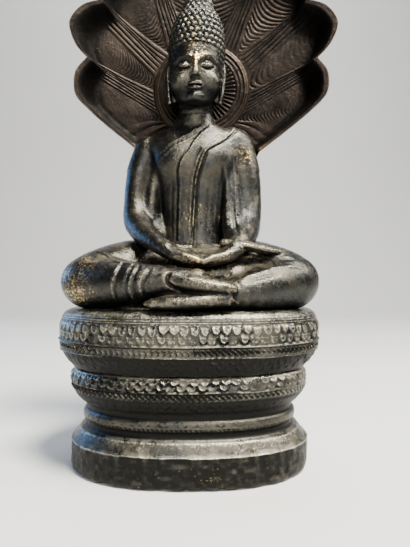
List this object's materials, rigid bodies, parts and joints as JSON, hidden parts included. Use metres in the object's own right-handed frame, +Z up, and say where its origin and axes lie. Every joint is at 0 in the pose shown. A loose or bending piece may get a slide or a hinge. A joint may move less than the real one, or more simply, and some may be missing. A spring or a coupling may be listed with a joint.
{
  "type": "seated bronze buddha statue under a naga hood",
  "caption": "Small cast bronze Buddha in meditation, seated on a coiled naga over an oval plinth and sheltered by its spread, lobed hood.",
  "frame": {"origin": "middle of the plinth's flat underside", "axes": "+Z up, -Y the way the figure faces, +X towards the figure's own left"},
  "size_m": [0.1249, 0.0766, 0.2486],
  "materials": {
    "dark_bronze": "dark brown-black patina, rubbed to brassy gold on high points, dusty in the recesses"
  },
  "bodies": {
    "root": {"naga_buddha_statue": "dark_bronze"}
  },
  "joints": []
}
